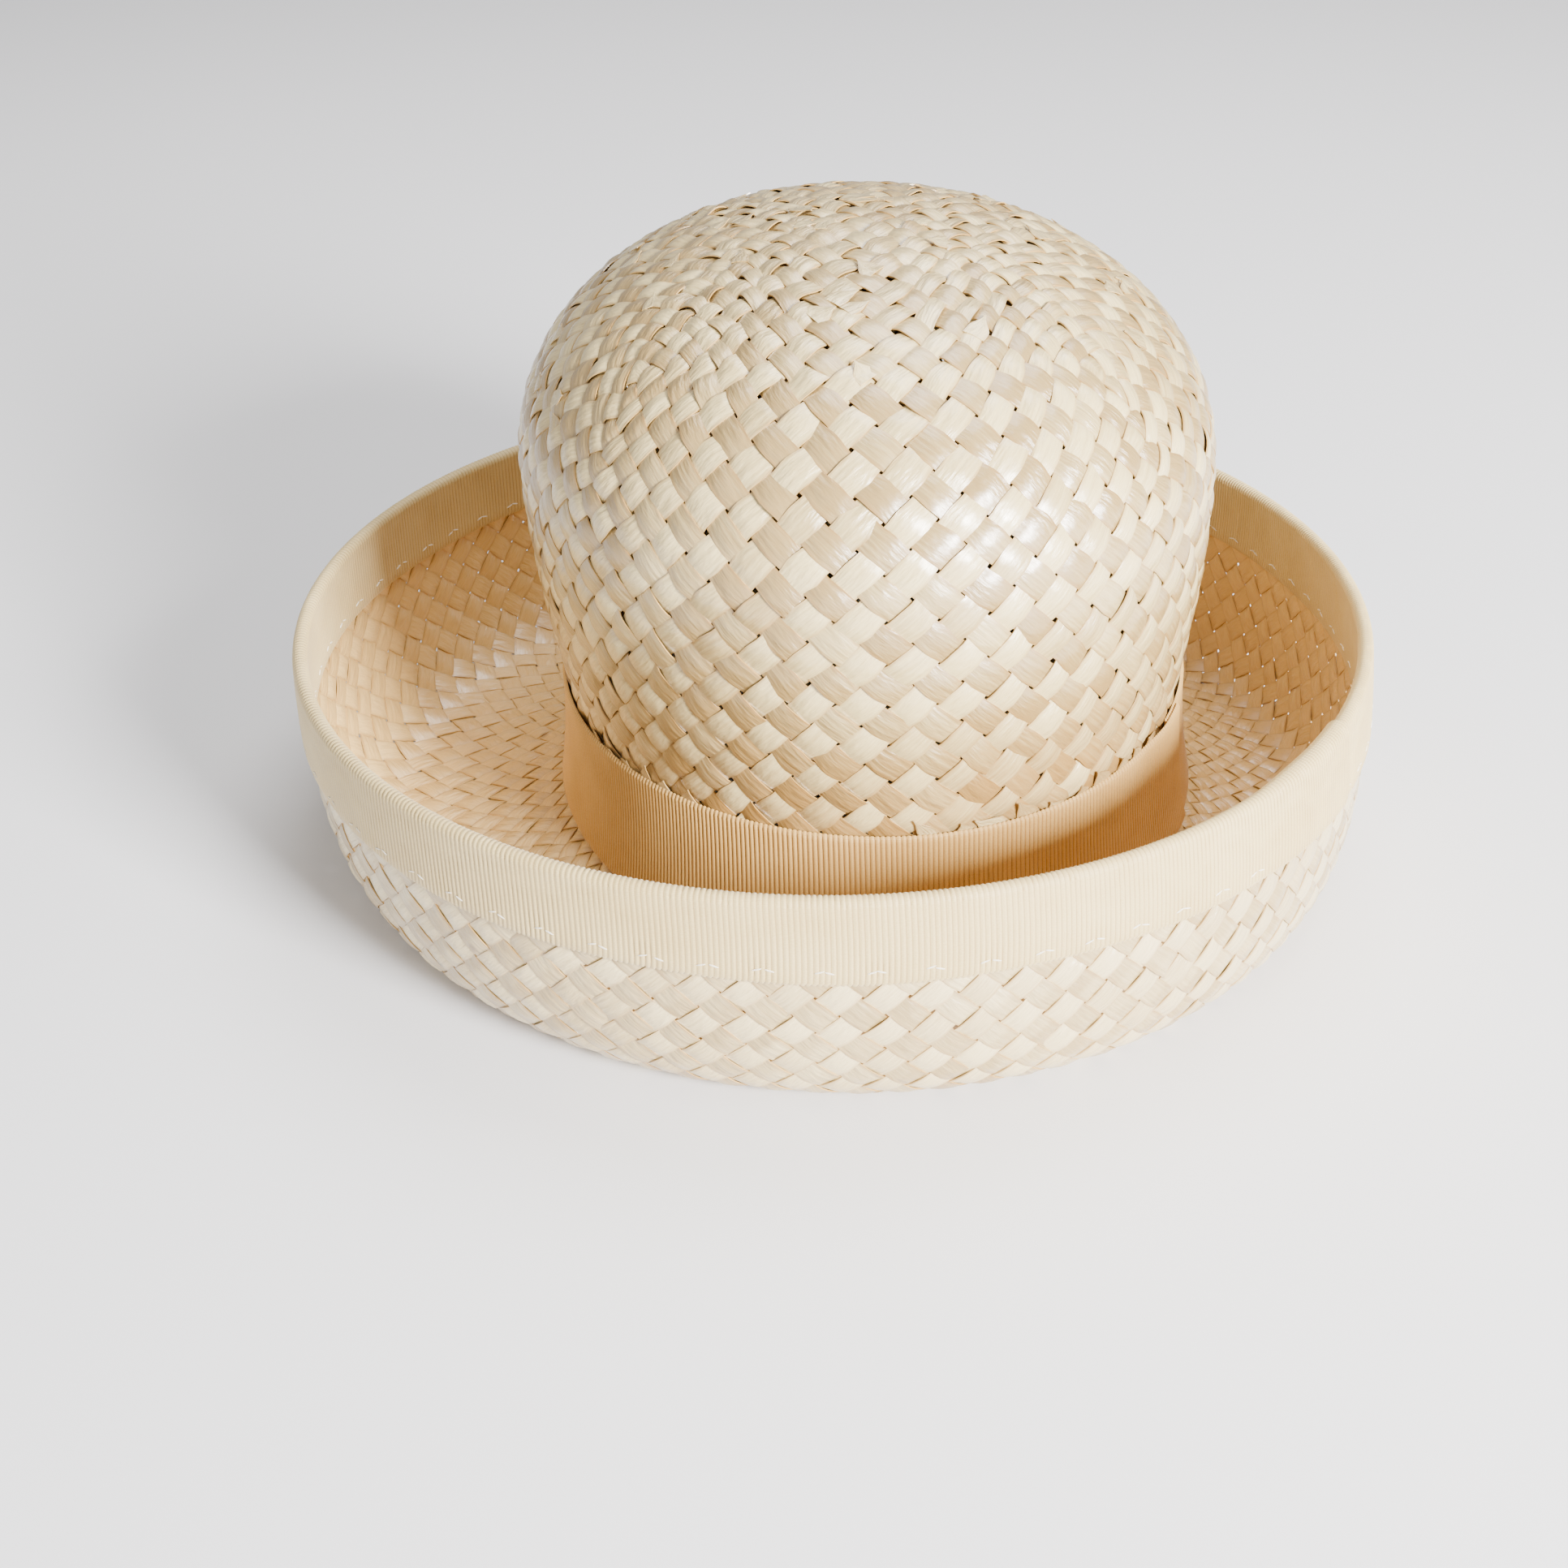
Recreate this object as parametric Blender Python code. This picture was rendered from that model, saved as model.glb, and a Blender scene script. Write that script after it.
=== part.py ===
# A woman's straw hat with a high round crown and a brim that rolls up all round.
# Crown and brim are two separately plaited straw shells. The brim's collar stands
# inside the crown, a grosgrain ribbon covers the join, and a second ribbon is
# folded over the brim's edge.
# The front of the hat looks along -Y. The origin is on the surface that the hat
# rests on, under the middle of the brim's edge.

import math

import bpy
from mathutils import Vector
from mathutils.geometry import interpolate_bezier

MM = 0.001

# Walls and the clearance between neighbours
STRAW_WALL = 1.6 * MM
RIBBON_WALL = 1.0 * MM
GAP = 0.3 * MM

# Crown. Its half width and half length are to the middle of its wall, at the
# upper edge of the ribbon. It swells above the ribbon and flares out at its foot.
CROWN_HALF_WIDTH = 83.4 * MM
CROWN_HALF_LENGTH = 97.9 * MM
CROWN_HEIGHT = 155.0 * MM
CROWN_SWELL = 6.0 * MM
CROWN_FOOT_FLARE = 3.0 * MM
CROWN_LEAN = 4.5 * MM
DOME_FULLNESS = 2.15
SWELL_LEVEL = 0.5

# How far the crown's middle is from the middle of the brim's edge
CROWN_ASIDE = 12.5 * MM
CROWN_BACK = 4.5 * MM

# Brim, measured at the middle of its wall
RIM_HALF_WIDTH = 141.9 * MM
RIM_HALF_LENGTH = 142.6 * MM
RIM_HEIGHT = 61.5 * MM
JOIN_HEIGHT = 9.5 * MM

# Where the brim turns up into its collar: how far each foot is above the join
COLLAR_FOOT_RISE = 3.0 * MM
CROWN_FOOT_RISE = 4.2 * MM
BAND_FOOT_RISE = 1.4 * MM
COLLAR_HEIGHT = 14.0 * MM
COLLAR_FOLD_DROP = 4.0 * MM
COLLAR_CLEARANCE = 0.5 * MM

# The rolled brim bulges out most towards this side, between front and wearer's left
ROLL_BULGE = 5.0 * MM
ROLL_BULGE_SIDE = -50.0

# The level ring that the hat rests on, as shares of the way from crown to edge
REST_RING_INNER = 0.58
REST_RING_OUTER = 0.70

# Ribbons
BAND_WIDTH = 37.0 * MM
BINDING_WIDTH = 19.5 * MM
BAND_FOOT_SPREAD = 0.1

# Points round each oval, and rows of facets along each section
ROUND = 60
COLLAR_ROWS = 2
INNER_BRIM_ROWS = 6
OUTER_BRIM_ROWS = 9
BAND_ROWS = 3
SWELL_ROWS = 4
DOME_ROWS = 8
EDGE_TURN_ROWS = 4
SHARP_ANGLE = 40.0

# Where the brim's two curves are pulled to. Out is a share of the way from the
# crown to the edge, up a share of the height from the floor to the edge.
BRIM_PULLS = {
    "before_ring": {"out": 0.34, "up": 0.0},
    "after_ring": {"out": 0.97, "up": 0.0},
    "under_edge": {"out": 1.03, "up": 0.40},
}


def clear_scene():
    for old in list(bpy.data.objects):
        bpy.data.objects.remove(old, do_unlink=True)


def make_material(name, color, roughness):
    material = bpy.data.materials.new(name)
    material.use_nodes = True
    shader = material.node_tree.nodes["Principled BSDF"]
    shader.inputs["Base Color"].default_value = (*color, 1.0)
    shader.inputs["Roughness"].default_value = roughness
    shader.inputs["Metallic"].default_value = 0.0
    material.diffuse_color = (*color, 1.0)
    return material


def oval_radius(half_width, half_length, angle):
    """Distance from an oval's middle to its outline in the given direction."""
    x = math.cos(angle) / half_width
    y = math.sin(angle) / half_length
    return 1.0 / math.hypot(x, y)


def crown_profile():
    """The crown's section, foot first. Swell is how far a row stands outside the ribbon's oval,
    closing is the share that is left of the oval as the dome closes in."""
    band_top = JOIN_HEIGHT + BAND_WIDTH
    crown_top = JOIN_HEIGHT + CROWN_HEIGHT
    foot = JOIN_HEIGHT + CROWN_FOOT_RISE
    rows = []
    for i in range(BAND_ROWS):
        share = i / BAND_ROWS
        height = foot + (band_top - foot) * share
        swell = CROWN_FOOT_FLARE * (1 - share) ** 2
        rows.append({"swell": swell, "closing": 1.0, "height": height})
    swell_top = band_top + (crown_top - band_top) * SWELL_LEVEL
    for i in range(SWELL_ROWS):
        share = i / SWELL_ROWS
        height = band_top + (swell_top - band_top) * share
        swell = CROWN_SWELL * math.sin(math.pi / 2 * share)
        rows.append({"swell": swell, "closing": 1.0, "height": height})
    power = 2 / DOME_FULLNESS
    for i in range(DOME_ROWS + 1):
        turn = math.pi / 2 * i / DOME_ROWS
        height = swell_top + (crown_top - swell_top) * math.sin(turn) ** power
        closing = max(math.cos(turn), 0.0) ** power if i < DOME_ROWS else 0.0
        rows.append({"swell": CROWN_SWELL, "closing": closing, "height": height})
    return rows


def crown_line(angle):
    """The middle of the crown's wall in one direction, foot first, as (radius, height)."""
    base = oval_radius(CROWN_HALF_WIDTH, CROWN_HALF_LENGTH, angle)
    return [Vector(((base + row["swell"]) * row["closing"], row["height"])) for row in crown_profile()]


def crown_middle(height):
    """The crown leans a little, so its middle moves aside as it rises."""
    rise = (height - JOIN_HEIGHT) / CROWN_HEIGHT
    return Vector((CROWN_ASIDE - CROWN_LEAN * rise, CROWN_BACK))


def offset_line(line, distance):
    """A line moved sideways by distance, to the left of the way that it runs."""
    ways = [(after - point).normalized() for point, after in zip(line, line[1:])]
    moved = []
    for point, into, out in zip(line, ways[:1] + ways, ways + ways[-1:]):
        normal = Vector((-into.y - out.y, into.x + out.x)).normalized()
        square_on = normal.dot(Vector((-out.y, out.x)))
        moved.append(point + normal * (distance / square_on))
    return moved


def crown_join(angle):
    """Radius of the middle of the crown's wall at the join, from the crown's middle."""
    return oval_radius(CROWN_HALF_WIDTH, CROWN_HALF_LENGTH, angle) + CROWN_FOOT_FLARE


def brim_frame(angle):
    """Foot point under the crown's wall, level direction to the brim's edge, and reach."""
    middle = crown_middle(JOIN_HEIGHT)
    radius = crown_join(angle)
    foot = middle + Vector((math.cos(angle), math.sin(angle))) * radius
    rim_angle = math.atan2(foot.y, foot.x)
    rim_radius = oval_radius(RIM_HALF_WIDTH, RIM_HALF_LENGTH, rim_angle)
    rim = Vector((math.cos(rim_angle), math.sin(rim_angle))) * rim_radius
    return foot, (rim - foot).normalized(), (rim - foot).length


def brim_line(angle):
    """The middle of the brim's wall in one direction, collar first, as (out, height)."""
    reach = brim_frame(angle)[2]
    floor = STRAW_WALL / 2

    def at(out, up):
        return Vector((out * reach, floor + up * (RIM_HEIGHT - floor)))

    pull = {name: at(**row) for name, row in BRIM_PULLS.items()}
    facing = max(math.cos(angle - math.radians(ROLL_BULGE_SIDE)), 0.0)
    for name in ("after_ring", "under_edge"):
        pull[name].x += ROLL_BULGE * facing ** 2
    collar_out = -(STRAW_WALL + COLLAR_CLEARANCE)
    collar_foot = Vector((collar_out, JOIN_HEIGHT + COLLAR_FOOT_RISE))
    collar_top = collar_foot + Vector((-CROWN_FOOT_FLARE, COLLAR_HEIGHT))
    fold_pull = collar_foot - Vector((0.0, COLLAR_FOLD_DROP))
    ring_inner = at(REST_RING_INNER, 0.0)
    ring_outer = at(REST_RING_OUTER, 0.0)
    rim = at(1.0, 1.0)
    collar = [collar_top.lerp(collar_foot, i / COLLAR_ROWS) for i in range(COLLAR_ROWS)]
    inner = interpolate_bezier(collar_foot, fold_pull, pull["before_ring"], ring_inner, INNER_BRIM_ROWS + 1)
    outer = interpolate_bezier(ring_outer, pull["after_ring"], pull["under_edge"], rim, OUTER_BRIM_ROWS + 1)
    return collar + [p.to_2d() for p in inner] + [p.to_2d() for p in outer]


def place_on_brim(angle, point):
    """The collar stands along the crown's wall; past the join the brim runs out to its edge."""
    foot, direction, _ = brim_frame(angle)
    if point.x < 0:
        return place_on_crown(angle, Vector((crown_join(angle) + point.x, point.y)))
    spot = foot + direction * point.x
    return Vector((spot.x, spot.y, point.y))


def place_on_crown(angle, point):
    middle = crown_middle(point.y)
    return Vector((middle.x + math.cos(angle) * point.x, middle.y + math.sin(angle) * point.x, point.y))


def band_line(angle):
    """The ribbon's middle, which follows the crown's outer face up to its upper edge."""
    distance = STRAW_WALL / 2 + GAP + RIBBON_WALL / 2
    foot_height = JOIN_HEIGHT + BAND_FOOT_RISE
    outer = offset_line(crown_line(angle), -distance)[: BAND_ROWS + 1]
    foot = Vector((outer[0].x + (outer[0].x - outer[1].x) * BAND_FOOT_SPREAD, foot_height))
    return [foot] + outer[1:]


def length_up_to(line, width):
    """The end of a line, last point first, cut where it is as long as width."""
    taken = [line[-1]]
    left = width
    for before, point in zip(line[-2::-1], line[:0:-1]):
        step = (before - point).length
        if step >= left:
            taken.append(point.lerp(before, left / step))
            return taken
        taken.append(before)
        left -= step
    return taken


def binding_line(angle):
    """The folded ribbon's middle: up the brim's inner face, over its edge and down."""
    distance = STRAW_WALL / 2 + GAP + RIBBON_WALL / 2
    brim = brim_line(angle)
    edge = length_up_to(brim, BINDING_WIDTH)[::-1]
    inner = offset_line(edge, distance)
    outer = offset_line(edge, -distance)[::-1]
    along = (edge[-1] - edge[-2]).normalized()
    across = Vector((-along.y, along.x))
    turn = []
    for i in range(1, EDGE_TURN_ROWS):
        half_turn = math.pi * i / EDGE_TURN_ROWS
        turn.append(edge[-1] + (across * math.cos(half_turn) + along * math.sin(half_turn)) * distance)
    return inner + turn + outer


def angles():
    return [2 * math.pi * i / ROUND for i in range(ROUND)]


def add_mesh_object(name, points, faces, material, collection):
    mesh = bpy.data.meshes.new(name)
    mesh.from_pydata(points, [], faces)
    mesh.validate()
    mesh.shade_smooth()
    mesh.set_sharp_from_angle(angle=math.radians(SHARP_ANGLE))
    mesh.materials.append(material)
    piece = bpy.data.objects.new(name, mesh)
    collection.objects.link(piece)
    return piece


def bridge(first, second, size):
    """Quads between two rings of points that start at these numbers."""
    return [(first + i, first + (i + 1) % size, second + (i + 1) % size, second + i) for i in range(size)]


def add_ring_wall(name, line, place, wall, material, collection):
    """A wall round the hat: the line's section, given its thickness, at every angle."""
    points = []
    loop_length = 0
    for angle in angles():
        middle = line(angle)
        loop = offset_line(middle, wall / 2) + offset_line(middle, -wall / 2)[::-1]
        loop_length = len(loop)
        points += [place(angle, point) for point in loop]
    faces = []
    for i in range(ROUND):
        faces += bridge(i * loop_length, (i + 1) % ROUND * loop_length, loop_length)
    return add_mesh_object(name, points, faces, material, collection)


def add_crown(material, collection):
    """The crown's shell: an outer and an inner skin, joined at the foot, closed on top."""
    skins = []
    for side in (-1, 1):
        sections = [offset_line(crown_line(angle), side * STRAW_WALL / 2) for angle in angles()]
        top = place_on_crown(0, Vector((0.0, crown_line(0)[-1].y - side * STRAW_WALL / 2)))
        skins.append((sections, top))
    rows = len(crown_profile()) - 1
    points = []
    for sections, top in skins:
        for row in range(rows):
            points += [place_on_crown(angle, section[row]) for angle, section in zip(angles(), sections)]
        points.append(top)
    skin_size = rows * ROUND + 1
    faces = []
    for start, outward in ((0, True), (skin_size, False)):
        skin = []
        for row in range(rows - 1):
            skin += bridge(start + row * ROUND, start + (row + 1) * ROUND, ROUND)
        last = start + (rows - 1) * ROUND
        skin += [(last + i, last + (i + 1) % ROUND, start + rows * ROUND) for i in range(ROUND)]
        faces += skin if outward else [face[::-1] for face in skin]
    faces += bridge(skin_size, 0, ROUND)
    return add_mesh_object("crown", points, faces, material, collection)


def build_hat():
    clear_scene()
    collection = bpy.data.collections.new("rolled_brim_straw_hat")
    bpy.context.scene.collection.children.link(collection)
    crown_straw = make_material("crown_straw", (0.86, 0.78, 0.60), 0.45)
    brim_straw = make_material("brim_straw", (0.84, 0.75, 0.56), 0.45)
    band_ribbon = make_material("band_ribbon", (0.80, 0.60, 0.38), 0.75)
    binding_ribbon = make_material("binding_ribbon", (0.86, 0.76, 0.58), 0.75)
    add_crown(crown_straw, collection)
    add_ring_wall("brim", brim_line, place_on_brim, STRAW_WALL, brim_straw, collection)
    add_ring_wall("crown_band", band_line, place_on_crown, RIBBON_WALL, band_ribbon, collection)
    add_ring_wall("brim_binding", binding_line, place_on_brim, RIBBON_WALL, binding_ribbon, collection)


build_hat()
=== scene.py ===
import math

import bpy
import numpy as np
from mathutils import Matrix, Vector


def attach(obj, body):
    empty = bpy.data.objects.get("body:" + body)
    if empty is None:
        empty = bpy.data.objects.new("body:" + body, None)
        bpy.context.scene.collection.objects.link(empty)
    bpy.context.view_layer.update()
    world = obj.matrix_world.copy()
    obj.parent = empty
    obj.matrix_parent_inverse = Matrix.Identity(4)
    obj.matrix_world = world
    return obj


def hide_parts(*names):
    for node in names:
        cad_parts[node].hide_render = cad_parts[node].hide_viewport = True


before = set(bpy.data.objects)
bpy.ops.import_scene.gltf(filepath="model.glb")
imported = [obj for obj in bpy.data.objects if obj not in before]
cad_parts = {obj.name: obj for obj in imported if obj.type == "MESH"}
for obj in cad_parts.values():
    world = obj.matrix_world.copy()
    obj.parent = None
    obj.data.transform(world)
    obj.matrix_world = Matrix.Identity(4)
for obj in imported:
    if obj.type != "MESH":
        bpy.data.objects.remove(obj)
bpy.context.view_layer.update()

MM = 0.001


# Crown. Flat glossy straw is plaited on the bias: 56 strips cross the tip in four
# groups, and each comes down the side at 45 degrees. The plait was blocked wet
# over a round form, which gave it its swell and left small holes at the crossings.
CROWN_HALF_WIDTH = 83.4 * MM
CROWN_HALF_LENGTH = 97.9 * MM
CROWN_SWELL = 6.0 * MM
CROWN_FLARE = 3.0 * MM
CROWN_FOOT = 14.2 * MM
CROWN_TOP = 164.5 * MM
BAND_TOP = 46.5 * MM
JOIN_HEIGHT = 9.5 * MM
SHOULDER = 105.5 * MM
DOME_FULLNESS = 2.15
CROWN_ASIDE = 12.5 * MM
CROWN_BACK = 4.5 * MM
CROWN_LEAN = 0.029

TIP_HALF = 7
TIP_REACH = 70.0 * MM
CROWN_CELL = 11.0 * MM
CROWN_STRAW = {"thick": 0.34 * MM, "rise": 0.52 * MM, "crown": 0.42 * MM, "fill": 0.925}


def smooth(edge0, edge1, value):
    """0 below edge0, 1 above edge1 and an even curve between."""
    share = np.clip((value - edge0) / (edge1 - edge0), 0, 1)
    return share * share * (3 - 2 * share)


def oval(half_width, half_length, angle):
    return 1 / np.hypot(np.cos(angle) / half_width, np.sin(angle) / half_length)


def crown_middle(height):
    return CROWN_ASIDE - CROWN_LEAN * (height - JOIN_HEIGHT), CROWN_BACK


def crown_section():
    """The crown's section from tip to foot: arc length, closing, swell and height."""
    power = 2 / DOME_FULLNESS
    turn = np.linspace(np.pi / 2, 0, 240)
    dome_height = SHOULDER + (CROWN_TOP - SHOULDER) * np.sin(turn) ** power
    dome_closing = np.cos(turn).clip(0) ** power
    side = np.linspace(SHOULDER, CROWN_FOOT, 120)[1:]
    height = np.concatenate([dome_height, side])
    closing = np.concatenate([dome_closing, np.ones(len(side))])
    above = np.clip((height - BAND_TOP) / (SHOULDER - BAND_TOP), 0, 1)
    below = np.clip((BAND_TOP - height) / (BAND_TOP - CROWN_FOOT), 0, 1)
    swell = CROWN_SWELL * np.sin(np.pi / 2 * above) + CROWN_FLARE * below ** 2
    mean = (CROWN_HALF_WIDTH + CROWN_HALF_LENGTH) / 2
    radius = (mean + swell) * closing
    arc = np.concatenate([[0], np.cumsum(np.hypot(np.diff(radius), np.diff(height)))])
    return arc, closing, swell, height


CROWN_SECTION = crown_section()


def crown_spot(angle, arc):
    """A point of the crown's wall, arc being the way down from the tip."""
    arcs, closings, swells, heights = CROWN_SECTION
    closing = np.interp(arc, arcs, closings)
    swell = np.interp(arc, arcs, swells)
    height = np.interp(arc, arcs, heights)
    radius = (oval(CROWN_HALF_WIDTH, CROWN_HALF_LENGTH, angle) + swell) * closing
    x, y = crown_middle(height)
    return np.stack([x + np.cos(angle) * radius, y + np.sin(angle) * radius, height], -1)


def raised(spot, along, across, out):
    """Points of a surface spot(along, across), raised by out along its outward normal."""
    step = 1e-4
    to_along = spot(along + step, across) - spot(along - step, across)
    to_across = spot(along, across + step) - spot(along, across - step)
    normal = np.cross(to_along, to_across)
    normal /= np.linalg.norm(normal, axis=-1, keepdims=True) + 1e-12
    return spot(along, across) + normal * np.asarray(out)[..., None]


def crown_plait(side, x, y):
    """Angle and arc of a spot in the plait. x and y count cells; y is -7 where the tip's
    square, 14 cells wide, meets this side, and less than that down the side."""
    past = (y > -TIP_HALF) & (x > TIP_HALF)
    x, y = np.where(past, y, x), np.where(past, -x, y)
    turn = (side + past) * np.pi / 2 - np.pi / 2
    on_side = y <= -TIP_HALF
    down = np.maximum(-TIP_HALF - y, 0)
    settle = smooth(0, 5, down)
    quarter = np.round(x / (2 * TIP_HALF))
    local = x - quarter * 2 * TIP_HALF
    even = x / TIP_HALF * np.pi / 4
    edge = quarter * np.pi / 2 + np.arctan2(local, TIP_HALF)
    side_angle = edge + (even - edge) * settle
    corner = (np.abs(local) ** 5 + TIP_HALF ** 5) ** 0.2 - TIP_HALF
    side_cells = TIP_HALF + down + corner * (1 - settle)
    squareness = 2 + 3 * np.maximum(np.abs(x), np.abs(y)) / TIP_HALF
    squareness = np.minimum(squareness, 5)
    top_cells = (np.abs(x) ** squareness + np.abs(y) ** squareness) ** (1 / squareness)
    top_angle = np.arctan2(y, x) + np.pi / 2
    angle = turn + np.where(on_side, side_angle, top_angle)
    cells = np.where(on_side, side_cells, top_cells)
    on_tip = np.minimum(cells, TIP_HALF) * TIP_REACH / TIP_HALF
    return angle, on_tip + np.maximum(cells - TIP_HALF, 0) * CROWN_CELL


class Plait:
    """Collects flat strips and makes them one mesh of thin closed ribbons."""

    def __init__(self):
        self.points, self.faces, self.uvs, self.tones, self.insides = [], [], [], [], []
        self.count = 0

    def add(self, outer, inner, uv, tone):
        """outer and inner are grids of points, rows along the strip."""
        rows, columns = outer.shape[:2]
        index = np.arange(rows * columns).reshape(rows, columns)
        quads = np.stack([index[:-1, :-1], index[:-1, 1:], index[1:, 1:], index[1:, :-1]], -1).reshape(-1, 4)
        under = index + rows * columns
        rim = np.concatenate([index[0, :], index[1:, -1], index[-1, -2::-1], index[-2:0:-1, 0]])
        rim_under = np.concatenate([under[0, :], under[1:, -1], under[-1, -2::-1], under[-2:0:-1, 0]])
        walls = np.stack([rim, rim_under, np.roll(rim_under, -1), np.roll(rim, -1)], -1)
        faces = np.concatenate([quads, quads[:, ::-1] + rows * columns, walls])
        self.faces.append(faces + self.count)
        self.points.append(np.concatenate([outer.reshape(-1, 3), inner.reshape(-1, 3)]))
        self.uvs.append(np.concatenate([uv.reshape(-1, 2)] * 2))
        self.tones.append(np.concatenate([tone.reshape(-1)] * 2))
        self.insides.append(np.repeat([0.0, 1.0], rows * columns))
        self.count += 2 * rows * columns

    def make(self, name, material):
        mesh = bpy.data.meshes.new(name)
        mesh.from_pydata(np.concatenate(self.points), [], np.concatenate(self.faces).tolist())
        uv = np.concatenate(self.uvs)
        corners = np.empty(len(mesh.loops), dtype=np.int32)
        mesh.loops.foreach_get("vertex_index", corners)
        mesh.uv_layers.new(name="strip").data.foreach_set("uv", uv[corners].ravel())
        for label, values in (("tone", self.tones), ("inside", self.insides)):
            mesh.attributes.new(label, "FLOAT", "POINT").data.foreach_set("value", np.concatenate(values))
        mesh.materials.append(material)
        mesh.shade_smooth()
        mesh.set_sharp_from_angle(angle=math.radians(50))
        piece = bpy.data.objects.new(name, mesh)
        bpy.context.scene.collection.objects.link(piece)
        return piece


def over_under(cells):
    """The rise of a strip, 1 where it lies over its neighbour and -1 where it lies under."""
    return np.tanh(1.15 * np.cos(2 * np.pi * cells)) / math.tanh(1.15)


class Wire:
    """A socket that Python's operators work on."""

    def __init__(self, finish, socket):
        self.finish, self.socket = finish, socket

    def maths(self, operation, first, second):
        return self.finish.node("ShaderNodeMath", {"operation": operation}, {0: first, 1: second})

    def __add__(self, other):
        return self.maths("ADD", self, other)

    def __sub__(self, other):
        return self.maths("SUBTRACT", self, other)

    def __rsub__(self, other):
        return self.maths("SUBTRACT", other, self)

    def __mul__(self, other):
        return self.maths("MULTIPLY", self, other)

    def __pow__(self, other):
        return self.maths("POWER", self, other)

    __radd__ = __add__
    __rmul__ = __mul__


class Finish:
    """A material whose colours and relief are worked out by nodes."""

    def __init__(self, name, fixed):
        self.material = bpy.data.materials.new(name)
        self.material.use_nodes = True
        self.tree = self.material.node_tree
        self.shader = self.tree.nodes["Principled BSDF"]
        self.feed(fixed)

    def put(self, socket, value):
        if isinstance(value, Wire):
            self.tree.links.new(value.socket, socket)
        else:
            socket.default_value = value

    def feed(self, values):
        for name, value in values.items():
            self.put(self.shader.inputs[name], value)

    def node(self, kind, settings, sockets, output=0):
        made = self.tree.nodes.new(kind)
        for name, value in settings.items():
            setattr(made, name, value)
        for name, value in sockets.items():
            self.put(made.inputs[name], value)
        return Wire(self, made.outputs[output])

    def colour(self, share, first, second):
        return self.node("ShaderNodeMix", {"data_type": "RGBA"}, {0: share, 6: first, 7: second}, 2)

    def between(self, value, low, high):
        """0 where value is below low, 1 where it is above high."""
        return self.node("ShaderNodeMapRange", {"clamp": True}, {"Value": value, "From Min": low, "From Max": high})


INSIDE_STRAW = (0.78, 0.50, 0.17, 1)


def cell_by_cell(chance, run, spread):
    """Uneven values along a strip, one for each stretch that lies over a neighbour."""
    stretch = np.round(run).astype(int)
    stretch -= stretch.min()
    return chance.normal(0, spread, stretch.max() + 1)[stretch]


def eased(chance, run, spread):
    """Uneven values along a strip that pass smoothly from one stretch to the next."""
    whole = np.arange(math.floor(run.min()), math.ceil(run.max()) + 1)
    return np.interp(run, whole, chance.normal(0, spread, len(whole)))


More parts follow.
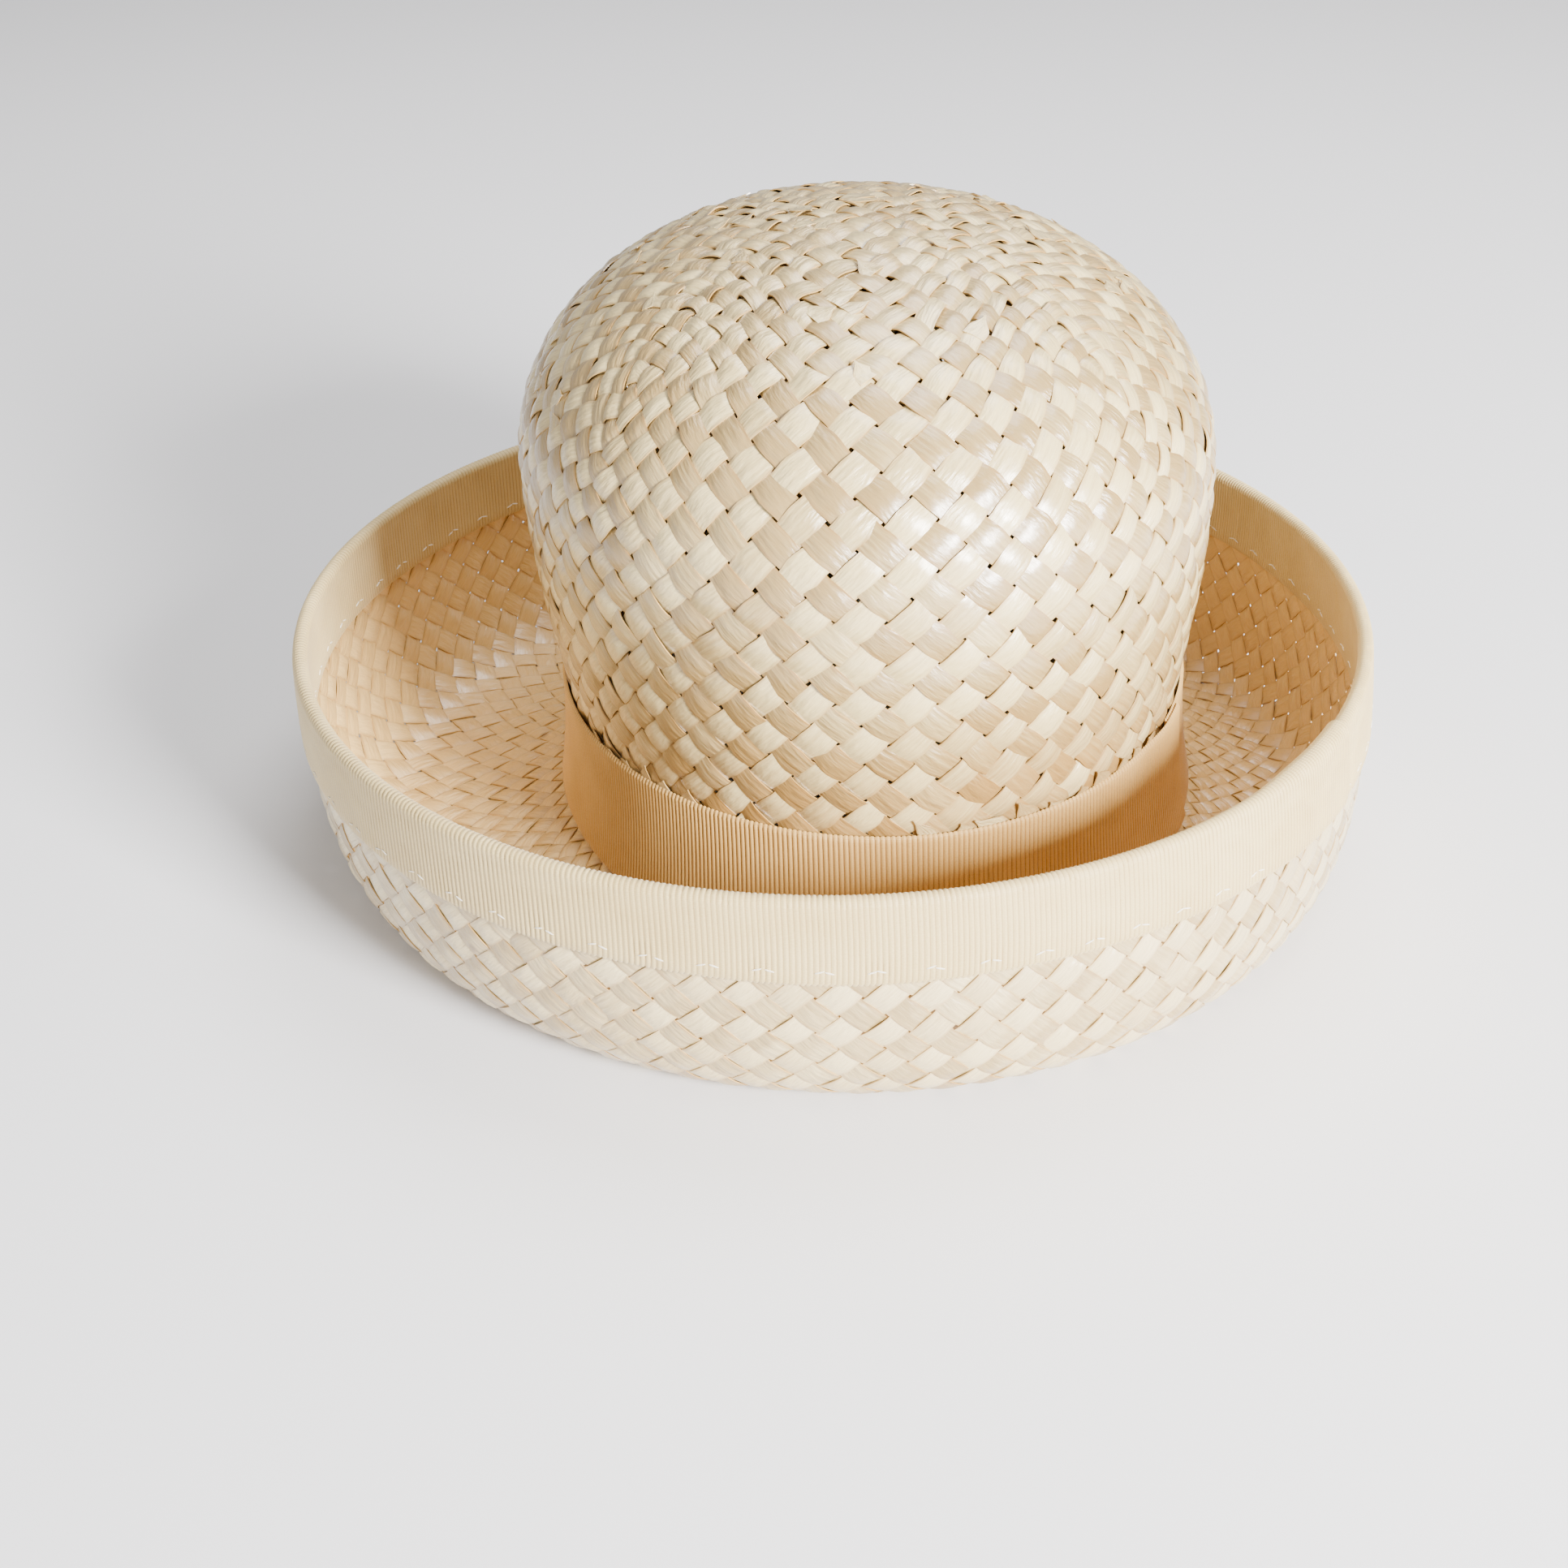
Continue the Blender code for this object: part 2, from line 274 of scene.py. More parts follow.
def straw_finish(name, pale, tan, warm, warm_from, warm_to, stains=()):
    """Split straw: fine lengthwise fibres under a satin skin, with painted shade darkening each strip along its edges,
    where it meets and passes under its neighbours.
    It turns warmer from the height warm_from down to warm_to."""
    straw = Finish(name, {"Specular IOR Level": 1.0, "Coat Roughness": 0.24})
    uv = straw.node("ShaderNodeUVMap", {"uv_map": "strip"}, {})
    split = straw.node("ShaderNodeSeparateXYZ", {}, {0: uv})
    across = Wire(straw, split.socket.node.outputs[1])
    fibre_place = straw.node("ShaderNodeVectorMath", {"operation": "MULTIPLY"}, {0: uv, 1: (0.9, 9.0, 1.0)})
    fibres = straw.node("ShaderNodeTexNoise", {}, {"Vector": fibre_place, "Scale": 6.0, "Detail": 5.0})
    streak_place = straw.node("ShaderNodeVectorMath", {"operation": "MULTIPLY"}, {0: uv, 1: (0.25, 3.0, 1.0)})
    streaks = straw.node("ShaderNodeTexNoise", {}, {"Vector": streak_place, "Scale": 4.0, "Detail": 2.0})
    tone = straw.node("ShaderNodeAttribute", {"attribute_name": "tone"}, {}, 2)
    place = straw.node("ShaderNodeTexCoord", {}, {}, 3)
    height = Wire(straw, straw.node("ShaderNodeSeparateXYZ", {}, {0: place}).socket.node.outputs[2])
    clouds = straw.node("ShaderNodeTexNoise", {}, {"Vector": place, "Scale": 22.0, "Detail": 3.0})
    # The strip tone mixes tan to pale. It holds painted sheen, with strips of one direction painted paler as a glossy
    # highlight would light them, as well as tone that differs at random.
    share = tone + (streaks - 0.5) * 0.9 + (clouds - 0.5) * 0.5
    base = straw.colour(straw.between(share, 0.05, 0.95), tan, pale)
    low = straw.between(height + (clouds - 0.5) * 0.05, warm_from, warm_to)
    base = straw.colour(low * straw.between(share, 1.3, 0.0) * 0.75, base, warm)
    inside = straw.node("ShaderNodeAttribute", {"attribute_name": "inside"}, {}, 2)
    base = straw.colour(inside * 0.8, base, INSIDE_STRAW)
    dark_fibre = straw.between(fibres, 0.52, 0.72)
    base = straw.colour(dark_fibre * 0.35, base, warm)
    # Painted shade: each strip is darkened towards the warm colour along its edges, where it meets and passes under its
    # neighbours.
    middle = straw.node("ShaderNodeMath", {"operation": "FRACT"}, {0: across}) - 0.5
    edge = straw.node("ShaderNodeMath", {"operation": "ABSOLUTE"}, {0: middle}) * 2
    base = straw.colour(straw.between(edge, 0.72, 1.0) * 0.5, base, warm)
    for middle, reach in stains:
        away = straw.node("ShaderNodeVectorMath", {"operation": "DISTANCE"}, {0: place, 1: middle}, 1)
        base = straw.colour(straw.between(away + fibres * 0.001, reach, reach * 0.5) * 0.7, base, (0.16, 0.07, 0.02, 1))
    crinkle_place = straw.node("ShaderNodeVectorMath", {"operation": "MULTIPLY"}, {0: uv, 1: (1.0, 1.6, 1.0)})
    crinkles = straw.node("ShaderNodeTexNoise", {}, {"Vector": crinkle_place, "Scale": 2.4, "Detail": 2.0})
    creased = straw.node("ShaderNodeBump", {}, {"Strength": 0.5, "Distance": 0.0012, "Height": crinkles})
    relief = straw.node(
        "ShaderNodeBump", {}, {"Strength": 0.4, "Distance": 0.0002, "Height": fibres + streaks * 0.5, "Normal": creased}
    )
    gloss = straw.between(crinkles + (clouds - 0.5) * 0.4, 0.35, 0.65)
    straw.feed({"Base Color": base, "Normal": relief, "Roughness": 0.2 + fibres * 0.24})
    straw.feed({"Coat Weight": 0.3 + gloss * 0.6})
    return straw.material


def add_crown_straw():
    """Both groups of crown strips, those that cross the tip one way and the other."""
    groups = [Plait(), Plait()]
    foot = (CROWN_SECTION[0][-1] - TIP_REACH) / CROWN_CELL
    for side in range(4):
        for number in range(2 * TIP_HALF):
            chance = np.random.default_rng(100 * side + number)
            start = number + 0.5 - TIP_HALF
            length = TIP_HALF - start + 2 * foot
            steps = int(round(length * 10))
            run = np.linspace(0, length, steps + 1)[:, None]
            across = np.linspace(-1, 1, 5)[None, :]
            beyond = run - foot
            on_tip = smooth(0.2, 2.5, beyond) * smooth(0.2, 2.5, TIP_HALF - start - beyond)
            rough = 0.035 + 0.09 * on_tip
            sway = rough * sum(
                chance.normal() * np.sin(beyond * rate + chance.uniform(0, 6)) for rate in (0.9, 2.3, 5.1)
            )
            fill = CROWN_STRAW["fill"] + chance.normal() * 0.015 - 0.02 * on_tip + eased(chance, beyond, 0.025)
            fill = fill + 0.035 * np.cos(4 * np.pi * beyond)
            aside = 0.25 * across * fill + 0.25 * sway
            x = start + beyond + aside
            y = -TIP_HALF + beyond - aside
            angle, arc = crown_plait(side, x, y)
            rise = CROWN_STRAW["rise"] * over_under(beyond)
            tilt = eased(chance, beyond, 0.22 * MM) * (1 + 0.6 * on_tip) * across
            tilt = tilt + eased(chance, beyond, 0.25 * MM) * on_tip * across ** 3
            pitch = eased(chance, beyond, 0.16 * MM) * np.sin(2 * np.pi * beyond)
            pillow = CROWN_STRAW["crown"] * (0.45 - across ** 2)
            out = rise + pillow + tilt + pitch + eased(chance, beyond, 0.05 * MM)
            arc = np.maximum(arc, 0.4 * MM)

            def spot(down, round_it):
                return crown_spot(round_it, down)

            outer = raised(spot, arc, angle, out + CROWN_STRAW["thick"] / 2)
            inner = raised(spot, arc, angle, out - CROWN_STRAW["thick"] / 2)
            uv = np.stack([run + 40 * number + 0 * across, side * 2 * TIP_HALF + number + 0.5 + 0.48 * across + 0 * run], -1)
            # Painted sheen: each strip is painted paler down the side where it rises to the right and tan down the side
            # where it falls, passing from one to the other across the tip. The rest of the tone differs at random.
            rising = 1 - smooth(0, 1, beyond / (TIP_HALF - start))
            tone = 0.12 + 0.66 * rising + chance.normal() * 0.08 + cell_by_cell(chance, beyond, 0.16) + 0 * across
            groups[side % 2].add(outer, inner, uv, tone)
    finish = straw_finish(
        "crown_straw", (0.72, 0.57, 0.27, 1), (0.35, 0.23, 0.08, 1), (0.36, 0.17, 0.03, 1), 0.085, 0.035
    )
    return [group.make(name, finish) for group, name in zip(groups, ("crown_straw_front", "crown_straw_side"))]


crown_pieces = add_crown_straw()
for piece in crown_pieces:
    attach(piece, "root")
    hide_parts("crown")


# Loose ends. Cut and split ends of the crown's strips stand a little proud: a row of
# short points along the band's top edge, and torn slivers scattered near the tip.
END_HALF_WIDTH = 3.4 * MM


def add_loose_ends():
    ends = Plait()
    chance = np.random.default_rng(31)
    arcs, closings, _, heights = CROWN_SECTION
    foot_arc = float(np.interp(-(BAND_TOP - 3 * MM), -heights, arcs))
    places = [(math.radians(a), foot_arc, math.pi + 0.35, 9 * MM, 1.1 * MM) for a in range(-84, -38, 5)]
    places += [(math.radians(a), foot_arc, math.pi - 0.35, 8 * MM, 1.1 * MM) for a in range(-146, -118, 5)]
    for _ in range(46):
        angle = chance.uniform(-math.pi, math.pi)
        places.append((angle, chance.uniform(12, 105) * MM, chance.choice([-1, 1]) * math.pi * 0.75, 7 * MM, 0.8 * MM))
    for number, (angle, arc, heading, length, proud) in enumerate(places):
        length = length * chance.uniform(0.6, 1.1)
        heading = heading + chance.normal() * 0.12
        along = np.linspace(0, 1, 8)[:, None]
        across = np.linspace(-1, 1, 4)[None, :]
        taper = 1 - smooth(0.35, 1.0, along) * 0.94
        aside = (across * taper + (1 - taper) * chance.uniform(-0.7, 0.7)) * END_HALF_WIDTH * chance.uniform(0.6, 1.0)
        down = arc + along * length * math.cos(heading) - aside * math.sin(heading)
        down = np.maximum(down, 1 * MM)
        radius = np.maximum(np.interp(down, arcs, closings), 0.1) * 92 * MM
        around = angle + (along * length * math.sin(heading) + aside * math.cos(heading)) / radius
        out = proud + chance.uniform(0.1, 0.7) * MM * along ** 2 - 0.25 * MM * across ** 2 * taper

        def spot(far, round_it):
            return crown_spot(round_it, far)

        outer = raised(spot, down, around, out + 0.12 * MM)
        inner = raised(spot, down, around, out - 0.12 * MM)
        uv = np.stack([along + 7 * number + 0 * across, 300 + number + 0.5 + 0.48 * across + 0 * along], -1)
        ends.add(outer, inner, uv, chance.uniform(0.3, 1.0) + 0 * along * across)
    return ends.make("crown_loose_ends", crown_pieces[0].data.materials[0])


loose_ends = add_loose_ends()
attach(loose_ends, "root")


# Brim. It is plaited apart from the crown, of narrower strips, and blocked so that
# it turns down a little and then rolls up all round. Its collar stands inside the
# crown's foot, where the two are sewn together.
STRAW_WALL = 1.6 * MM
RIM_HALF_WIDTH = 141.9 * MM
RIM_HALF_LENGTH = 142.6 * MM
RIM_HEIGHT = 61.5 * MM
COLLAR_OUT = -2.1 * MM
COLLAR_FOOT = 12.5 * MM
COLLAR_TOP = 26.5 * MM
ROLL_BULGE = 5.0 * MM
ROLL_BULGE_SIDE = math.radians(-50)
BRIM_CELLS_ROUND = 90
BRIM_STAINS = (
    ((-0.0868, -0.1126, 0.0298), 2.6 * MM),
    ((-0.0975, -0.0996, 0.0156), 2.4 * MM),
    ((-0.0841, 0.0235, 0.0053), 2.8 * MM),
)
BRIM_STRAW = {"thick": 0.32 * MM, "rise": 0.50 * MM, "crown": 0.34 * MM, "fill": 0.925}


def curve_through(share, *pulls):
    """A cubic curve from the first pull to the last, drawn towards the two between."""
    a, b, c, d = pulls
    left = 1 - share
    return left ** 3 * a + 3 * left ** 2 * share * b + 3 * left * share ** 2 * c + share ** 3 * d


def brim_spot(angle, way):
    """A point of the brim's wall. way runs 0 to 1 up the collar's height, to 2 at the ring
    that the hat rests on, to 3 across that ring and to 4 at the edge."""
    radius = oval(CROWN_HALF_WIDTH, CROWN_HALF_LENGTH, angle) + CROWN_FLARE
    foot = np.stack([CROWN_ASIDE + np.cos(angle) * radius, CROWN_BACK + np.sin(angle) * radius], -1)
    rim_angle = np.arctan2(foot[..., 1], foot[..., 0])
    rim = np.stack([np.cos(rim_angle), np.sin(rim_angle)], -1)
    rim = rim * oval(RIM_HALF_WIDTH, RIM_HALF_LENGTH, rim_angle)[..., None]
    reach = np.linalg.norm(rim - foot, axis=-1)
    outward = (rim - foot) / reach[..., None]
    floor = STRAW_WALL / 2
    rise = RIM_HEIGHT - floor
    up = np.clip(way, 0, 1)
    inner = np.clip(way - 1, 0, 1)
    ring = np.clip(way - 2, 0, 1)
    roll = np.clip(way - 3, 0, 1)
    out = curve_through(inner, COLLAR_OUT, COLLAR_OUT, 0.34 * reach, 0.58 * reach)
    height = curve_through(inner, COLLAR_FOOT, COLLAR_FOOT - 4 * MM, floor, floor)
    out = np.where(way > 2, (0.58 + 0.12 * ring) * reach, out)
    bulge = ROLL_BULGE * np.cos(angle - ROLL_BULGE_SIDE).clip(0) ** 2
    rolled = curve_through(roll, 0.70 * reach, 0.97 * reach + bulge, 1.03 * reach + bulge, reach)
    out = np.where(way > 3, rolled, out)
    height = np.where(way > 3, floor + curve_through(roll, 0, 0, 0.4, 1) * rise, height)
    out = np.where(way < 1, COLLAR_OUT - CROWN_FLARE * (1 - up), out)
    height = np.where(way < 1, COLLAR_TOP + (COLLAR_FOOT - COLLAR_TOP) * up, height)
    flat = foot + outward * np.maximum(out, 0)[..., None]
    flat = flat + np.stack([np.cos(angle), np.sin(angle)], -1) * np.minimum(out, 0)[..., None]
    return np.concatenate([flat, height[..., None]], -1)


def brim_rows():
    """Cells up to each part of the way over the brim, each as long as it is wide there."""
    way = np.linspace(0, 4, 801)
    angle = np.linspace(0, 2 * np.pi, 72, endpoint=False)
    grid = brim_spot(angle[:, None], way[None, :] + 0 * angle[:, None])
    step = np.linalg.norm(np.diff(grid, axis=1), axis=-1).mean(0)
    around = np.linalg.norm(grid - np.roll(grid, 1, axis=0), axis=-1).sum(0)
    width = (around[1:] + around[:-1]) / 2 / BRIM_CELLS_ROUND
    return np.concatenate([[0], np.cumsum(step / width)]), way


BRIM_ROWS, BRIM_WAY = brim_rows()


def add_brim_straw():
    pieces = []
    finish = straw_finish(
        "brim_straw", (0.74, 0.59, 0.30, 1), (0.42, 0.29, 0.11, 1), (0.36, 0.17, 0.03, 1), 0.010, -0.02, BRIM_STAINS
    )
    rows = BRIM_ROWS[-1]
    for name, lean in (("brim_straw_right", 1), ("brim_straw_left", -1)):
        plait = Plait()
        steps = int(round(rows * 8))
        for number in range(BRIM_CELLS_ROUND):
            chance = np.random.default_rng(1000 + 7 * number + lean)
            run = np.linspace(0, rows, steps + 1)[:, None]
            across = np.linspace(-1, 1, 4)[None, :]
            sway = 0.035 * sum(chance.normal() * np.sin(run * rate + chance.uniform(0, 6)) for rate in (0.8, 2.1, 4.7))
            fill = BRIM_STRAW["fill"] + chance.normal() * 0.012 + 0.02 * np.cos(4 * np.pi * run)
            aside = 0.25 * across * fill + 0.25 * sway
            cell = number + 0.5 + lean * run + aside
            row = run - lean * aside
            angle = cell / BRIM_CELLS_ROUND * 2 * np.pi
            way = np.interp(np.clip(row, 0, rows), BRIM_ROWS, BRIM_WAY)
            half = 0 if lean > 0 else 0.5
            rise = BRIM_STRAW["rise"] * over_under(run + half)
            tilt = eased(chance, run, 0.15 * MM) * across
            pillow = BRIM_STRAW["crown"] * (0.45 - across ** 2)
            out = rise + tilt + chance.normal() * 0.03 * MM
            out = out + pillow * over_under(run + half)
            outer = raised(brim_spot, angle, way, out + BRIM_STRAW["thick"] / 2)
            inner = raised(brim_spot, angle, way, out - BRIM_STRAW["thick"] / 2)
            uv = np.stack([run + 40 * number + 0 * across, number + 0.5 + 0.48 * across + 0 * run], -1)
            # Painted sheen: strips leaning one way are painted paler than those leaning the other, as a glossy
            # highlight would light them. The rest of the tone differs at random.
            tone = 0.5 + 0.26 * lean + chance.normal() * 0.08 + cell_by_cell(chance, run, 0.16) + 0 * across
            plait.add(outer, inner, uv, tone)
        pieces.append(plait.make(name, finish))
    return pieces


for piece in add_brim_straw():
    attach(piece, "root")
    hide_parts("brim")


# Crown band. A grosgrain ribbon is laid round the crown's foot over the seam. Its
# ribs stand upright, its lower edge spreads onto the brim, and its end is turned
# under and lies over its beginning on the wearer's left.
BAND_RIBS = 500
BAND_THICK = 0.55 * MM
BAND_OFF = 1.25 * MM
BAND_FOOT = 10.9 * MM
BAND_JOIN = math.radians(-33)
BAND_OVERLAP = math.radians(7)


def ribbed(phase):
    """The rounded ridges of grosgrain and the narrow grooves between, 0 to 1."""
    return np.abs(np.sin(np.pi * phase)) ** 0.7


def sweep(name, grid, uv, material):
    """A closed mesh through rings of points: grid[i] is a closed ring, the ends are capped."""
    rings, size = grid.shape[:2]
    index = np.arange(rings * size).reshape(rings, size)
    near = np.roll(index, -1, axis=1)
    quads = np.stack([index[:-1], near[:-1], near[1:], index[1:]], -1).reshape(-1, 4)
    faces = quads.tolist() + [index[0, ::-1].tolist(), index[-1].tolist()]
    mesh = bpy.data.meshes.new(name)
    mesh.from_pydata(grid.reshape(-1, 3), [], faces)
    corners = np.empty(len(mesh.loops), dtype=np.int32)
    mesh.loops.foreach_get("vertex_index", corners)
    mesh.uv_layers.new(name="ribbon").data.foreach_set("uv", uv.reshape(-1, 2)[corners].ravel())
    mesh.materials.append(material)
    mesh.shade_smooth()
    mesh.set_sharp_from_angle(angle=math.radians(60))
    piece = bpy.data.objects.new(name, mesh)
    bpy.context.scene.collection.objects.link(piece)
    return piece


def ribbon_finish(name, pale, deep, groove):
    """Grosgrain: warp threads run along it over heavy weft ribs, matt with a faint sheen. The grooves between the ribs
    are darkened with painted shade.
    """
    ribbon = Finish(name, {"Roughness": 0.5, "Specular IOR Level": 0.45, "Sheen Weight": 0.25, "Sheen Roughness": 0.4})
    uv = ribbon.node("ShaderNodeUVMap", {"uv_map": "ribbon"}, {})
    split = ribbon.node("ShaderNodeSeparateXYZ", {}, {0: uv})
    ribs = split.socket
    across = Wire(ribbon, ribs.node.outputs[1])
    warp = ribbon.node("ShaderNodeMath", {"operation": "SINE"}, {0: across * 2 * math.pi * 3.0})
    grain_place = ribbon.node("ShaderNodeVectorMath", {"operation": "MULTIPLY"}, {0: uv, 1: (1.0, 0.8, 1.0)})
    grain = ribbon.node("ShaderNodeTexNoise", {}, {"Vector": grain_place, "Scale": 3.0, "Detail": 4.0})
    patches = ribbon.node("ShaderNodeTexNoise", {}, {"Vector": uv, "Scale": 0.06, "Detail": 2.0})
    ridge = ribbon.node("ShaderNodeMath", {"operation": "SINE"}, {0: split * math.pi})
    ridge = ribbon.node("ShaderNodeMath", {"operation": "ABSOLUTE"}, {0: ridge})
    base = ribbon.colour(ribbon.between(grain * 0.7 + patches * 0.6, 0.45, 0.85), deep, pale)
    # Painted shade: the grooves between the ribs are darkened towards the groove colour.
    base = ribbon.colour((1 - ribbon.between(ridge, 0.05, 0.55)) * 0.6, base, groove)
    relief = ribbon.node("ShaderNodeBump", {}, {"Strength": 0.3, "Distance": 0.00012, "Height": warp * 0.5 + grain})
    ribbon.feed({"Base Color": base, "Normal": relief})
    return ribbon.material


def band_spot(angle, height):
    below = np.clip((BAND_TOP - height) / (BAND_TOP - CROWN_FOOT), 0, 1.15)
    radius = oval(CROWN_HALF_WIDTH, CROWN_HALF_LENGTH, angle) + CROWN_FLARE * below ** 2
    x, y = crown_middle(height)
    return np.stack([x + np.cos(angle) * radius, y + np.sin(angle) * radius, height], -1)


def add_band():
    per_rib = 4
    extra = int(BAND_RIBS * BAND_OVERLAP / (2 * math.pi))
    count = (BAND_RIBS + extra) * per_rib + 1
    rib = (np.arange(count) / per_rib)[:, None]
    angle = BAND_JOIN + rib / BAND_RIBS * 2 * np.pi
    front = np.array([0, 0.25, 0.8, 3, 8, 14, 20, 26, 30, 33.7, 34.7, 35.2, 35.5]) * MM
    back = front[::-4]
    width = front[-1]
    way = np.concatenate([front, back])[None, :]
    is_front = (np.arange(len(front) + len(back)) < len(front))[None, :]
    selvedge = 1 - smooth(0, 0.8 * MM, np.minimum(way, width - way))
    ridge = ribbed(rib + 0 * way)
    scallop = (ridge - 0.5) * 0.30 * MM * np.where(way < width / 2, -1, 1) * selvedge
    lap = smooth((BAND_RIBS - 14) / BAND_RIBS, (BAND_RIBS - 1) / BAND_RIBS, rib / BAND_RIBS) * 0.95 * MM
    relief = 0.34 * MM * ridge * (1 - 0.75 * selvedge)
    wave = 0.35 * MM * np.sin(angle * 5 + way / width * 2) * smooth(0.5, 1, way / width)
    out = BAND_OFF + lap + np.where(is_front, BAND_THICK - 0.3 * MM * selvedge + relief, 0) + wave * 0.5
    height = BAND_FOOT + way + scallop + 0 * rib
    grid = raised(band_spot, angle + 0 * way, height, out)
    uv = np.stack([rib + 0 * way, way / MM + 0 * rib], -1)
    # The last colour is the painted shade in the grooves between the ribs.
    finish = ribbon_finish("band_ribbon", (0.70, 0.43, 0.13, 1), (0.56, 0.32, 0.08, 1), (0.26, 0.11, 0.02, 1))
    return sweep("crown_band_ribbon", grid, uv, finish)


band = add_band()
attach(band, "root")
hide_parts("crown_band")


# Brim binding. A second, paler grosgrain ribbon is folded over the brim's edge and
# sewn through with pairs of small stitches. Its end laps over its beginning at the
# front on the wearer's left.
BINDING_RIBS = 750
BINDING_THICK = 0.55 * MM
BINDING_OFF = 1.2 * MM
BINDING_JOIN = math.radians(-47)
BINDING_OVERLAP = math.radians(9)
BINDING_WIDTH = 19.5 * MM


def rim_way():
    """How far each part of the way over the brim is below its edge."""
    way = np.linspace(3, 4, 400)
    angle = np.linspace(0, 2 * np.pi, 72, endpoint=False)
    grid = brim_spot(angle[:, None], way[None, :] + 0 * angle[:, None])
    step = np.linalg.norm(np.diff(grid, axis=1), axis=-1).mean(0)
    return np.concatenate([np.cumsum(step[::-1])[::-1], [0]])[::-1], way[::-1]


RIM_DEPTH, RIM_WAY = rim_way()


def binding_spot(angle, depth, side, turn):
    """A point at depth below the brim's edge, turned from one face of it to the other.
    turn is the angle over the edge, side is how far the point stands from the wall."""
    way = np.interp(depth, RIM_DEPTH, RIM_WAY)
    edge = brim_spot(angle, way)
    step = 1e-3
    down = brim_spot(angle, way - step) - edge
    down /= np.linalg.norm(down, axis=-1, keepdims=True)
    along = brim_spot(angle + step, way) - edge
    along /= np.linalg.norm(along, axis=-1, keepdims=True)
    out = np.cross(down, along)
    out *= np.sign((out[..., :2] * edge[..., :2]).sum(-1))[..., None]
    return edge + out * (side * np.cos(turn))[..., None] - down * (side * np.sin(turn))[..., None]


def add_binding():
    per_rib = 4
    extra = int(BINDING_RIBS * BINDING_OVERLAP / (2 * math.pi))
    count = (BINDING_RIBS + extra) * per_rib + 1
    rib = (np.arange(count) / per_rib)[:, None]
    angle = BINDING_JOIN + rib / BINDING_RIBS * 2 * np.pi
    down = np.array([0, 0.25, 0.8, 3, 7, 11.5, 15.5, 19.4]) * MM
    turns = np.linspace(0, np.pi, 7)
    face = [(BINDING_WIDTH - d, 0.0) for d in down] + [(0.0, t) for t in turns]
    face += [(BINDING_WIDTH - d, np.pi) for d in down[::-1]]
    back = [(BINDING_WIDTH, np.pi), (9 * MM, np.pi), (0.2 * MM, np.pi), (0.0, np.pi / 2), (0.2 * MM, 0.0),
            (9 * MM, 0.0), (BINDING_WIDTH, 0.0)]
    depth = np.array([p[0] for p in face + back])[None, :]
    turn = np.array([p[1] for p in face + back])[None, :]
    is_face = (np.arange(len(face) + len(back)) < len(face))[None, :]
    way = np.where(turn < np.pi / 2, -depth, depth) / MM + turn * 1.6
    selvedge = 1 - smooth(0, 0.8 * MM, BINDING_WIDTH - depth)
    lean = 0.9 * np.sin(way / 9.0) + 0.25 * np.sin(angle * 37)
    ridge = ribbed(rib + lean * (1 - selvedge) * 0.4)
    scallop = (ridge - 0.5) * 0.34 * MM * selvedge
    lap = smooth(BINDING_RIBS - 22, BINDING_RIBS - 2, rib) * 0.85 * MM
    corner = smooth(count / per_rib - 4, count / per_rib, rib) ** 2 * 2.2 * MM * smooth(14 * MM, 19 * MM, depth)
    relief = 0.30 * MM * ridge * (1 - 0.7 * selvedge)
    off = BINDING_OFF + lap + np.where(is_face, BINDING_THICK - 0.3 * MM * selvedge + relief, 0)
    ripple = 0.5 * MM * np.sin(angle * 7 + 1) * np.sin(angle * 3)
    shown = np.maximum(depth + scallop + (ripple - corner) * smooth(5 * MM, 15 * MM, depth), 0)
    zero = 0 * rib
    grid = binding_spot(angle + 0 * depth, shown + zero, off + 0 * depth, turn + zero)
    uv = np.stack([rib + lean * (1 - selvedge) * 0.4, way + zero], -1)
    # The last colour is the painted shade in the grooves between the ribs.
    finish = ribbon_finish("binding_ribbon", (0.68, 0.52, 0.24, 1), (0.58, 0.42, 0.17, 1), (0.30, 0.17, 0.05, 1))
    return sweep("brim_binding_ribbon", grid, uv, finish)


binding = add_binding()
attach(binding, "root")
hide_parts("brim_binding")


# Binding stitches. Cream sewing thread goes through both layers of the folded ribbon
# and the straw, in pairs of short stitches near the ribbon's edges.
STITCH_PAIRS = 76
STITCH_LENGTH = 2.4 * MM
STITCH_THICK = 0.42 * MM
STITCH_DEPTH = 16.1 * MM


